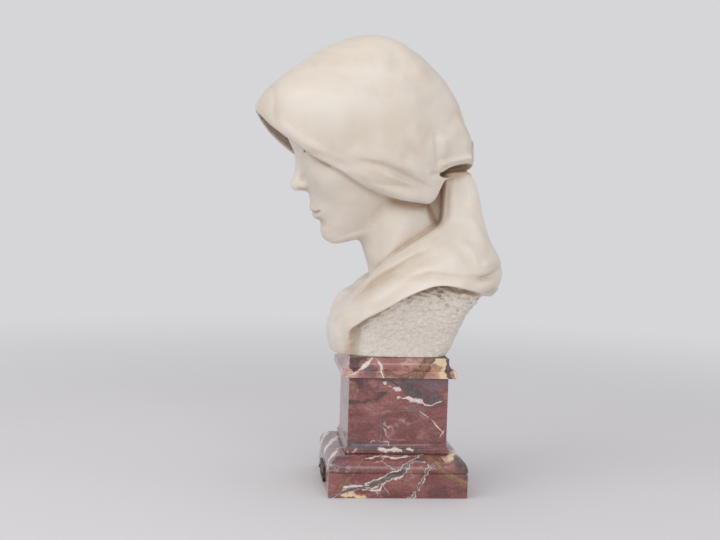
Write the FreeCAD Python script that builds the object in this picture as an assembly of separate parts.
"""A small marble bust of a woman in a headscarf, on a moulded socle of red marble.

Millimetres. +Z is up, the bust faces -Y, +X is her left. The origin is the middle of the socle's
underside. Four stones (plinth, die, cap, bust) sit on thin mastic beds and are drawn together by
one threaded rod, which is leaded into the bust and held by a washer and nut under the plinth.
"""

import FreeCAD, Part
import math
import os

from FreeCAD import Vector

# ---------------------------------------------------------------- driving dimensions: socle
PLINTH_SIDE = 120.0
PLINTH_HEIGHT = 35.0
GROOVE_Z = 21.3  # the V groove between the plinth's band and its ovolo
GROOVE_DEPTH = 1.1
OVOLO_REACH = 11.0  # how far the ovolo steps in
DIE_SIDE = 86.4
DIE_HEIGHT = 65.6
FOOT_SIDE = 90.6  # the little base moulding worked on the die's lower edge
FOOT_FILLET = 3.8
FOOT_RISE = 6.0
CAP_SIDE = 98.6
CAP_TOP_SIDE = 86.6
CAP_HEIGHT = 16.8
CAP_FILLET = 6.0
CAP_NECK = 3.0
BED = 0.6  # mastic bed between two stones
BED_INSET = 1.6
ARRIS = 0.5  # softened edge of the worked stones

# ---------------------------------------------------------------- driving dimensions: fixings
ROD_R = 4.0
ROD_BORE_R = 5.0
THREAD_PITCH = 1.25
THREAD_DEPTH = 0.65
THREAD_LENGTH = 15.0
RECESS_R = 14.0  # recess under the plinth for washer and nut
RECESS_DEPTH = 12.0
ROD_END_Z = 1.5
ANCHOR_R = 8.0
ANCHOR_DEPTH = 40.0
WASHER_R = 12.0
WASHER_THICK = 1.6
SOFT_WASHER_THICK = 1.4
NUT_ACROSS_FLATS = 13.0
NUT_HEIGHT = 6.5
THREAD_CLEARANCE = 0.05

# ---------------------------------------------------------------- driving dimensions: plaque
PLAQUE_LENGTH = 40.0
PLAQUE_HEIGHT = 13.4
PLAQUE_THICK = 2.0
PLAQUE_Z = 10.2
PIN_SPACING = 30.0
PIN_R = 0.8
PIN_HEAD_R = 2.0
PIN_HEAD_HEIGHT = 1.5
PIN_LENGTH = 9.0
PLUG_R = 2.0
PLUG_DEPTH = 10.0

# ---------------------------------------------------------------- heights worked out
DIE_Z = PLINTH_HEIGHT + BED
CAP_Z = DIE_Z + DIE_HEIGHT + BED
BUST_Z = CAP_Z + CAP_HEIGHT + BED

# ---------------------------------------------------------------- driving dimensions: head
HEAD_HEIGHT = 166.0  # chin to crown
HEAD_CENTRE = (-36.0, 322.5)  # middle of the cranium, as (Y, Z)
HEAD_TILT = 20.0  # degrees, face bowed down
HEAD_TURN = 5.0  # degrees, face turned to her left
CROWN_SHARE = 0.426  # crown above the middle of the cranium
HEAD_STEPS = 40  # even slices from chin to crown
NAPE_WEB = 9.0  # half width of the stone between neck and hanging scarf end

parts = {}


# ================================================================ small geometry helpers
def closed_spline(points):
    """A smooth closed curve through the points, evenly spaced in its parameter, as a wire."""
    even = [i / len(points) for i in range(len(points) + 1)]
    curve = Part.BSplineCurve()
    curve.interpolate(Points=points, PeriodicFlag=True, Parameters=even)
    return Part.Wire([curve.toShape()])


def loft(sections):
    """A solid skinned through closed sections, each a list of points in the same order."""
    return Part.makeLoft([closed_spline(s) for s in sections], True, False)


def signed_power(value, power):
    return math.copysign(abs(value) ** power, value)


def rounded_section(count, squareness):
    """Unit (cos, sin) pairs round a superellipse, from its back: squareness 2 is an ellipse."""
    for i in range(count):
        angle = 2 * math.pi * i / count
        power = 2.0 / squareness
        yield -signed_power(math.cos(angle), power), signed_power(math.sin(angle), power)


def level_section(z, front, back, half_width, squareness=2.0, count=24):
    """A horizontal section from front to back along Y, half_width wide each side of X = 0."""
    middle, reach = (front + back) / 2, (back - front) / 2
    return [
        Vector(half_width * s, middle - reach * c, z)
        for c, s in rounded_section(count, squareness)
    ]


def leaning_section(front, back, half_width, arch=0.0):
    """A section whose front and back ends are (Y, Z) points; arch lifts its two sides."""
    points = []
    for c, s in rounded_section(24, 2.0):
        share = (1 + c) / 2
        y = back[0] + (front[0] - back[0]) * share
        z = back[1] + (front[1] - back[1]) * share + arch * s * s
        points.append(Vector(half_width * s, y, z))
    return points


def upright_section(y, low, top, half_width):
    """A section in a plane of constant Y, from low to top along Z."""
    middle, reach = (low + top) / 2, (top - low) / 2
    return [
        Vector(half_width * s, y, middle + reach * c)
        for c, s in rounded_section(24, 2.2)
    ]


def smooth_row(rows, at):
    """The values beside `at` in a table of rows (at, value, ...), on a smooth curve through them."""
    last = len(rows) - 1
    i = min(last - 1, sum(1 for row in rows[1:] if row[0] < at))
    low, high = rows[i], rows[i + 1]
    before, after = rows[max(i - 1, 0)], rows[min(i + 2, last)]
    step = high[0] - low[0]
    share = (at - low[0]) / step
    ease = share * share * (3 - 2 * share)
    found = []
    for k in range(1, len(low)):
        slope_in = (high[k] - before[k]) / (high[0] - before[0])
        slope_out = (after[k] - low[k]) / (after[0] - low[0])
        bend = share * (1 - share) ** 2 * slope_in - share**2 * (1 - share) * slope_out
        found.append(low[k] + (high[k] - low[k]) * ease + bend * step)
    return found


def even_steps(low, high, count):
    return [low + (high - low) * i / count for i in range(count + 1)]


def bump(value, centre, width):
    return math.exp(-(((value - centre) / width) ** 2))


# ================================================================ socle stones
def half_profile(steps):
    """Edges of a profile's right half, from steps of (half width, z) or (corner, arc middle)."""
    edges = []
    here = Vector(steps[0][0], 0, steps[0][1])
    for step in steps[1:]:
        if len(step) == 2:
            there = Vector(step[0], 0, step[1])
            edges.append(Part.LineSegment(here, there).toShape())
        else:
            there = Vector(step[0], 0, step[1])
            through = Vector(step[2], 0, step[3])
            edges.append(Part.Arc(here, through, there).toShape())
        here = there
    return edges


def moulded_block(steps):
    """A square stone with the same moulded profile on all four sides, mitred at its corners."""
    right = half_profile(steps)
    mirror = FreeCAD.Matrix()
    mirror.A11 = -1
    left = [edge.transformGeometry(mirror) for edge in right]
    low, high = steps[0], steps[-1]
    base = Part.LineSegment(Vector(-low[0], 0, low[1]), Vector(low[0], 0, low[1])).toShape()
    lid = Part.LineSegment(Vector(-high[0], 0, high[1]), Vector(high[0], 0, high[1])).toShape()
    outline = Part.Wire(Part.__sortEdges__(right + left + [base, lid]))
    reach = 2 * PLINTH_SIDE
    slab = Part.Face(outline).extrude(Vector(0, reach, 0))
    slab.translate(Vector(0, -reach / 2, 0))
    crossed = slab.copy()
    crossed.rotate(Vector(0, 0, 0), Vector(0, 0, 1), 90)
    return slab.common(crossed)


def quarter(x0, z0, x1, z1, bulge):
    """A step along a quarter round from (x0, z0) to (x1, z1): bulge 1 swells, -1 hollows."""
    side = math.sqrt(0.5)
    if bulge > 0:
        middle = (x1 + (x0 - x1) * side, z0 + (z1 - z0) * side)
    else:
        middle = (x0 + (x1 - x0) * side, z1 + (z0 - z1) * side)
    return (x1, z1, middle[0], middle[1])


def rod_bore(low, high):
    return Part.makeCylinder(ROD_BORE_R, high - low + 2, Vector(0, 0, low - 1))


def pin_cylinder(x, y, radius, depth):
    """A cylinder going back along +Y from (x, y) at the height of the plaque."""
    return Part.makeCylinder(radius, depth, Vector(x, y, PLAQUE_Z), Vector(0, 1, 0))


def make_plinth():
    half = PLINTH_SIDE / 2
    top_half = half - OVOLO_REACH
    spring = GROOVE_Z + GROOVE_DEPTH  # where the ovolo starts
    steps = [
        (half - ARRIS, 0.0),
        quarter(half - ARRIS, 0.0, half, ARRIS, -1),
        (half, GROOVE_Z - GROOVE_DEPTH),
        (half - GROOVE_DEPTH, GROOVE_Z),
        (half, spring),
        quarter(half, spring, top_half, PLINTH_HEIGHT, 1),
    ]
    stone = moulded_block(steps)
    stone = stone.cut(rod_bore(0, PLINTH_HEIGHT))
    stone = stone.cut(Part.makeCylinder(RECESS_R, RECESS_DEPTH + 1, Vector(0, 0, -1)))
    for x in pin_places():
        stone = stone.cut(pin_cylinder(x, -half - 1, PLUG_R, PLUG_DEPTH + 1))
    return stone


def make_die():
    half, foot = DIE_SIDE / 2, FOOT_SIDE / 2
    fillet_top = DIE_Z + FOOT_FILLET
    top = DIE_Z + DIE_HEIGHT
    steps = [
        (foot, DIE_Z),
        (foot, fillet_top),
        quarter(foot, fillet_top, half, fillet_top + FOOT_RISE, -1),
        (half, top - ARRIS),
        (half - ARRIS, top),
    ]
    return moulded_block(steps).cut(rod_bore(DIE_Z, top))


def make_cap():
    half, neck = CAP_SIDE / 2, CAP_TOP_SIDE / 2
    top = CAP_Z + CAP_HEIGHT
    fillet_top = CAP_Z + CAP_FILLET
    steps = [
        (half, CAP_Z),
        (half, fillet_top),
        quarter(half, fillet_top, neck, top - CAP_NECK, -1),
        (neck, top),
    ]
    return moulded_block(steps).cut(rod_bore(CAP_Z, top))


def make_bed(z, side):
    """A mastic bed, kept back from the edge of the smaller stone, with the rod's hole in it."""
    width = side - 2 * BED_INSET
    bed = Part.makeBox(width, width, BED, Vector(-width / 2, -width / 2, z))
    return bed.cut(rod_bore(z, z + BED))


# ================================================================ fixings
def make_tie_rod():
    top = BUST_Z + ANCHOR_DEPTH - 4
    rod = Part.makeCylinder(ROD_R, top - ROD_END_Z, Vector(0, 0, ROD_END_Z))
    rod = rod.makeChamfer(THREAD_DEPTH, [e for e in rod.Edges if e.BoundBox.ZMax < ROD_END_Z + 0.1])
    helix = Part.makeHelix(THREAD_PITCH, THREAD_LENGTH, ROD_R)
    helix.translate(Vector(0, 0, ROD_END_Z - THREAD_PITCH))
    start = ROD_END_Z - THREAD_PITCH
    half = THREAD_PITCH * 0.42
    tooth = Part.makePolygon(
        [
            Vector(ROD_R - THREAD_DEPTH, 0, start),
            Vector(ROD_R + 0.15, 0, start - half),
            Vector(ROD_R + 0.15, 0, start + half),
            Vector(ROD_R - THREAD_DEPTH, 0, start),
        ]
    )
    groove = Part.Wire(helix).makePipeShell([tooth], True, True)
    return rod.cut(groove)


def make_anchor():
    """Lead poured round the rod in the bust's socket."""
    lead = Part.makeCylinder(ANCHOR_R, ANCHOR_DEPTH, Vector(0, 0, BUST_Z))
    rod_top = BUST_Z + ANCHOR_DEPTH - 4
    return lead.cut(Part.makeCylinder(ROD_R, rod_top - BUST_Z + 1, Vector(0, 0, BUST_Z - 1)))


def make_washer(z, radius, thick):
    disc = Part.makeCylinder(radius, thick, Vector(0, 0, z))
    return disc.cut(Part.makeCylinder(ROD_R + 0.4, thick + 2, Vector(0, 0, z - 1)))


def make_nut():
    z = RECESS_DEPTH - SOFT_WASHER_THICK - WASHER_THICK - NUT_HEIGHT
    corner_r = NUT_ACROSS_FLATS / 2 / math.cos(math.pi / 6)
    corners = [
        Vector(corner_r * math.cos(math.pi / 3 * i), corner_r * math.sin(math.pi / 3 * i), z)
        for i in range(7)
    ]
    nut = Part.Face(Part.makePolygon(corners)).extrude(Vector(0, 0, NUT_HEIGHT))
    # both ends are turned to a 30 degree cone, as on a forged nut
    slope = math.tan(math.radians(30))
    drop = (corner_r - NUT_ACROSS_FLATS / 2) * slope
    cone = Part.makeCone(NUT_ACROSS_FLATS / 2, corner_r, drop, Vector(0, 0, z))
    barrel = Part.makeCylinder(corner_r, NUT_HEIGHT - 2 * drop, Vector(0, 0, z + drop))
    crown = Part.makeCone(corner_r, NUT_ACROSS_FLATS / 2, drop, Vector(0, 0, z + NUT_HEIGHT - drop))
    nut = nut.common(cone.fuse([barrel, crown]))
    return nut.cut(Part.makeCylinder(ROD_R + THREAD_CLEARANCE, NUT_HEIGHT + 2, Vector(0, 0, z - 1)))


# ================================================================ plaque
def pin_places():
    return (-PIN_SPACING / 2, PIN_SPACING / 2)


def make_plaque():
    face_y = -PLINTH_SIDE / 2
    plate = Part.makeBox(
        PLAQUE_LENGTH,
        PLAQUE_THICK,
        PLAQUE_HEIGHT,
        Vector(-PLAQUE_LENGTH / 2, face_y - PLAQUE_THICK, PLAQUE_Z - PLAQUE_HEIGHT / 2),
    )
    corners = [e for e in plate.Edges if abs(e.BoundBox.YLength - PLAQUE_THICK) < 1e-6]
    plate = plate.makeFillet(2.0, corners)
    rim = [e for e in plate.Edges if e.BoundBox.YMax < face_y - PLAQUE_THICK + 1e-6]
    plate = plate.makeChamfer(0.6, rim)
    for x in pin_places():
        plate = plate.cut(pin_cylinder(x, face_y - PLAQUE_THICK - 1, PIN_R, PLAQUE_THICK + 2))
    return plate


def make_pins():
    """Two round-headed brass pins."""
    outer = -PLINTH_SIDE / 2 - PLAQUE_THICK
    ball_r = (PIN_HEAD_R**2 + PIN_HEAD_HEIGHT**2) / (2 * PIN_HEAD_HEIGHT)
    pins = []
    for x in pin_places():
        shank = pin_cylinder(x, outer, PIN_R, PIN_LENGTH)
        ball = Part.makeSphere(ball_r, Vector(x, outer - PIN_HEAD_HEIGHT + ball_r, PLAQUE_Z))
        keep = pin_cylinder(x, outer - PIN_HEAD_HEIGHT - 1, PIN_HEAD_R, PIN_HEAD_HEIGHT + 1)
        pins.append(shank.fuse(ball.common(keep)).removeSplitter())
    return Part.makeCompound(pins)


def make_plugs():
    """Wooden plugs in the plinth that the pins are driven into."""
    face_y = -PLINTH_SIDE / 2
    bored = PIN_LENGTH - PLAQUE_THICK
    plugs = []
    for x in pin_places():
        plug = pin_cylinder(x, face_y, PLUG_R, PLUG_DEPTH)
        plugs.append(plug.cut(pin_cylinder(x, face_y - 1, PIN_R, bored + 1)))
    return Part.makeCompound(plugs)


# ================================================================ bust: head
# Canon of the head, as shares of its height: (height above chin, front, back, half width).
HEAD_CANON = [
    (0.00, 0.270, -0.120, 0.075),
    (0.04, 0.352, -0.060, 0.125),
    (0.08, 0.374, 0.000, 0.160),
    (0.13, 0.378, 0.070, 0.195),
    (0.19, 0.384, 0.140, 0.228),
    (0.25, 0.388, 0.210, 0.255),
    (0.32, 0.388, 0.280, 0.278),
    (0.40, 0.384, 0.340, 0.296),
    (0.48, 0.382, 0.390, 0.308),
    (0.56, 0.390, 0.425, 0.318),
    (0.65, 0.396, 0.440, 0.326),
    (0.74, 0.380, 0.430, 0.324),
    (0.82, 0.335, 0.398, 0.304),
    (0.89, 0.268, 0.340, 0.262),
    (0.95, 0.175, 0.245, 0.188),
    (0.99, 0.080, 0.130, 0.100),
]


def head_point(up, forward, side):
    """A point in the bowed head's own axes, measured from the middle of the cranium."""
    tilt = math.radians(HEAD_TILT)
    y = HEAD_CENTRE[0] - up * math.sin(tilt) - forward * math.cos(tilt)
    z = HEAD_CENTRE[1] + up * math.cos(tilt) - forward * math.sin(tilt)
    return Vector(side, y, z)


def face_relief(height, side):
    """How far the features stand out from the plain head, all as shares of its height."""
    nose = 0.0
    if 0.26 < height < 0.56:
        ridge = min(1.0, (0.56 - height) / 0.24)
        end = min(1.0, (height - 0.26) / 0.05)
        nose = 0.088 * ridge * end * bump(side, 0, 0.032 + 0.030 * bump(height, 0.32, 0.07))
    socket = -0.036 * bump(height, 0.50, 0.055) * bump(abs(side), 0.135, 0.065)
    lid = 0.018 * bump(height, 0.487, 0.028) * bump(abs(side), 0.135, 0.048)
    upper_lip = 0.014 * bump(height, 0.215, 0.022) * bump(side, 0, 0.075)
    lower_lip = 0.013 * bump(height, 0.166, 0.020) * bump(side, 0, 0.065)
    furrow = -0.010 * bump(height, 0.128, 0.024) * bump(side, 0, 0.080)
    chin = 0.010 * bump(height, 0.065, 0.035) * bump(side, 0, 0.075)
    return nose + socket + lid + upper_lip + lower_lip + furrow + chin


def head_section(height, count=36):
    front, back, half_width = smooth_row(HEAD_CANON, height)
    points = []
    for c, s in rounded_section(count, 2.15):
        reach = front if c > 0 else back
        forward, side = reach * c, half_width * s
        if c > 0:
            forward += face_relief(height, side) * c
        up = height - (1 - CROWN_SHARE)
        points.append(head_point(up * HEAD_HEIGHT, forward * HEAD_HEIGHT, side * HEAD_HEIGHT))
    return points


def make_head():
    heights = even_steps(HEAD_CANON[0][0], HEAD_CANON[-1][0], HEAD_STEPS)
    return loft([head_section(h) for h in heights])


# ================================================================ bust: scarf, neck, drapery
SCARF_EDGE = [  # the scarf's lower edge from brow to nape, then up under the bundle, as (Y, Z)
    (-140.0, 338.0),
    (-129.0, 329.5),
    (-119.0, 316.5),
    (-103.0, 302.5),
    (-84.0, 289.0),
    (-62.0, 278.0),
    (-37.0, 264.0),
    (-8.0, 255.0),
    (12.0, 252.0),
    (22.0, 254.0),
    (27.5, 264.0),
    (31.0, 275.0),
    (39.0, 281.5),
    (52.0, 284.0),
    (64.0, 287.0),
    (80.0, 292.0),
]
CUT_EDGE = [  # where the smooth shawl ends and the rough stone starts on each side, as (Y, Z)
    (-43.8, 132.0),
    (-42.0, 143.0),
    (-34.0, 151.5),
    (-17.0, 162.5),
    (5.0, 176.0),
    (28.0, 184.0),
    (51.0, 181.0),
    (72.0, 174.5),
    (90.0, 169.0),
    (110.0, 164.0),
]


def below(line, floor_z):
    """A block 400 wide under a smooth line of (Y, Z) points, down to floor_z."""
    x = -200.0
    curve = Part.BSplineCurve()
    curve.interpolate([Vector(x, y, z) for y, z in line])
    corners = [
        Vector(x, *line[-1]),
        Vector(x, line[-1][0], floor_z),
        Vector(x, line[0][0], floor_z),
        Vector(x, *line[0]),
    ]
    edges = [curve.toShape()]
    for start, end in zip(corners, corners[1:]):
        edges.append(Part.LineSegment(start, end).toShape())
    return Part.Face(Part.Wire(edges)).extrude(Vector(400, 0, 0))


SCARF_FORM = [  # the scarf over hair and skull: (Y, lowest Z, top Z, half width)
    (-128.5, 318.0, 332.0, 5.0),
    (-122.0, 304.0, 343.5, 22.0),
    (-110.0, 286.0, 355.5, 38.0),
    (-92.0, 266.0, 370.0, 50.0),
    (-70.0, 255.0, 384.5, 58.0),
    (-46.0, 243.0, 395.0, 62.5),
    (-22.0, 236.0, 397.5, 64.5),
    (0.0, 234.0, 390.5, 62.5),
    (20.0, 238.0, 377.0, 56.0),
    (38.0, 250.0, 358.5, 46.0),
    (51.0, 260.0, 337.0, 37.0),
    (60.0, 268.0, 310.0, 27.0),
    (64.0, 274.0, 296.0, 17.0),
]


def make_scarf():
    """The scarf drawn over hair and skull, from its front peak back to the bundle on the nape."""
    scarf = loft([upright_section(*station) for station in SCARF_FORM])
    return scarf.cut(below(SCARF_EDGE, 200.0))


def make_hood_hollow():
    """The open space between the scarf's brim and the forehead."""
    stations = [
        (-128.0, 306.0, 320.0, 3.0),
        (-122.0, 294.0, 331.0, 15.0),
        (-110.0, 278.0, 344.0, 31.0),
        (-95.0, 262.0, 353.0, 41.0),
        (-80.0, 250.0, 352.0, 45.0),
    ]
    return loft([upright_section(*station) for station in stations])


def make_tail():
    """The loose end of the scarf, hanging from the knot to the shoulders."""
    return loft(
        [
            level_section(300.0, 24.0, 60.0, 30.0),
            level_section(288.0, 27.0, 61.0, 28.0),
            level_section(279.0, 33.0, 64.0, 23.0),
            level_section(270.0, 36.5, 68.0, 23.0),
            level_section(255.0, 37.5, 72.3, 26.0),
            level_section(238.0, 37.0, 76.2, 28.0),
            level_section(222.0, 35.0, 82.0, 33.0),
            level_section(206.0, 31.0, 88.0, 39.0),
            level_section(190.0, 30.0, 88.0, 42.0),
        ]
    )


def make_neck():
    return loft(
        [
            leaning_section((-20.0, 150.0), (42.0, 168.0), 40.0),
            leaning_section((-23.0, 172.0), (36.0, 192.0), 36.0),
            leaning_section((-25.0, 192.0), (32.0, 216.0), 32.0),
            leaning_section((-31.0, 211.0), (29.0, 240.0), 30.0),
            leaning_section((-42.0, 230.0), (28.0, 264.0), 31.0),
            leaning_section((-50.0, 250.0), (27.0, 288.0), 34.0),
        ]
    )


def make_nape():
    """Stone left between the neck and the hanging end, set back in a deep shadowed hollow."""
    web = NAPE_WEB
    return Part.makeBox(2 * web, 34.0, 70.0, Vector(-web, 14.0, 200.0))


def make_shawl():
    """The shawl round her shoulders, its sides ending above the rough stone."""
    shawl = loft(
        [
            leaning_section((-51.0, 113.0), (64.0, 152.0), 60.0),
            leaning_section((-57.0, 122.0), (78.0, 164.0), 68.0),
            leaning_section((-60.6, 133.0), (88.0, 177.0), 74.0),
            leaning_section((-60.4, 144.0), (94.5, 190.0), 76.5, arch=2.0),
            leaning_section((-56.0, 154.0), (93.0, 202.0), 73.0, arch=4.0),
            leaning_section((-50.5, 162.0), (82.0, 214.0), 63.0, arch=6.0),
            leaning_section((-46.5, 169.0), (66.0, 224.0), 52.0, arch=7.0),
            leaning_section((-39.0, 174.0), (54.0, 230.0), 43.0, arch=6.0),
            leaning_section((-31.0, 172.0), (46.0, 226.0), 35.0),
        ]
    )
    return shawl.cut(below(CUT_EDGE, 60.0))


def make_support():
    """The roughly tooled stone under the shawl, narrowing to the foot that stands on the cap."""
    half = CAP_TOP_SIDE / 2
    return loft(
        [
            level_section(BUST_Z, -half, half, half, 6.5, 40),
            level_section(127.0, -half - 0.5, half + 4.5, half + 1.5, 6.0, 40),
            level_section(137.0, -half, half + 8.5, half + 4.5, 5.0, 40),
            level_section(148.0, -half + 2.0, half + 12.5, half + 9.5, 4.0, 40),
            level_section(159.0, -35.0, 62.0, 57.0, 3.4, 40),
            level_section(170.0, -27.0, 71.0, 61.0, 3.0, 40),
            level_section(180.0, -15.0, 75.0, 58.0, 2.6, 40),
        ]
    )


def make_bust():
    """The whole bust is one carved block: its forms are fused into a single solid."""
    scarf = make_scarf().cut(make_hood_hollow())
    head = make_head().fuse(scarf)
    head.rotate(Vector(0, 0, 0), Vector(0, 0, 1), HEAD_TURN)
    block = make_support()
    for form in (make_shawl(), make_neck(), make_nape(), make_tail(), head):
        block = block.fuse(form)
    foot = Part.makeBox(400, 400, 60, Vector(-200, -200, BUST_Z - 60))
    socket = Part.makeCylinder(ANCHOR_R, ANCHOR_DEPTH, Vector(0, 0, BUST_Z))
    return block.cut(foot).cut(socket).Solids[0]


# ================================================================ build
parts["bust"] = make_bust()
parts["socle_plinth"] = make_plinth()
parts["socle_die"] = make_die()
parts["socle_cap"] = make_cap()
parts["bed_plinth_die"] = make_bed(PLINTH_HEIGHT, FOOT_SIDE)
parts["bed_die_cap"] = make_bed(DIE_Z + DIE_HEIGHT, DIE_SIDE)
parts["bed_cap_bust"] = make_bed(CAP_Z + CAP_HEIGHT, CAP_TOP_SIDE)
parts["tie_rod"] = make_tie_rod()
parts["rod_anchor"] = make_anchor()
parts["soft_washer"] = make_washer(RECESS_DEPTH - SOFT_WASHER_THICK, WASHER_R + 0.5, SOFT_WASHER_THICK)
parts["steel_washer"] = make_washer(
    RECESS_DEPTH - SOFT_WASHER_THICK - WASHER_THICK, WASHER_R, WASHER_THICK
)
parts["tie_nut"] = make_nut()
parts["plaque"] = make_plaque()
parts["plaque_pins"] = make_pins()
parts["pin_plugs"] = make_plugs()

os.makedirs("parts", exist_ok=True)
for name, shape in parts.items():
    solids = shape.Solids
    print(name, "solids", len(solids), "valid", shape.isValid(), "volume", round(shape.Volume))
    shape.exportStep(os.path.join("parts", name + ".step"))
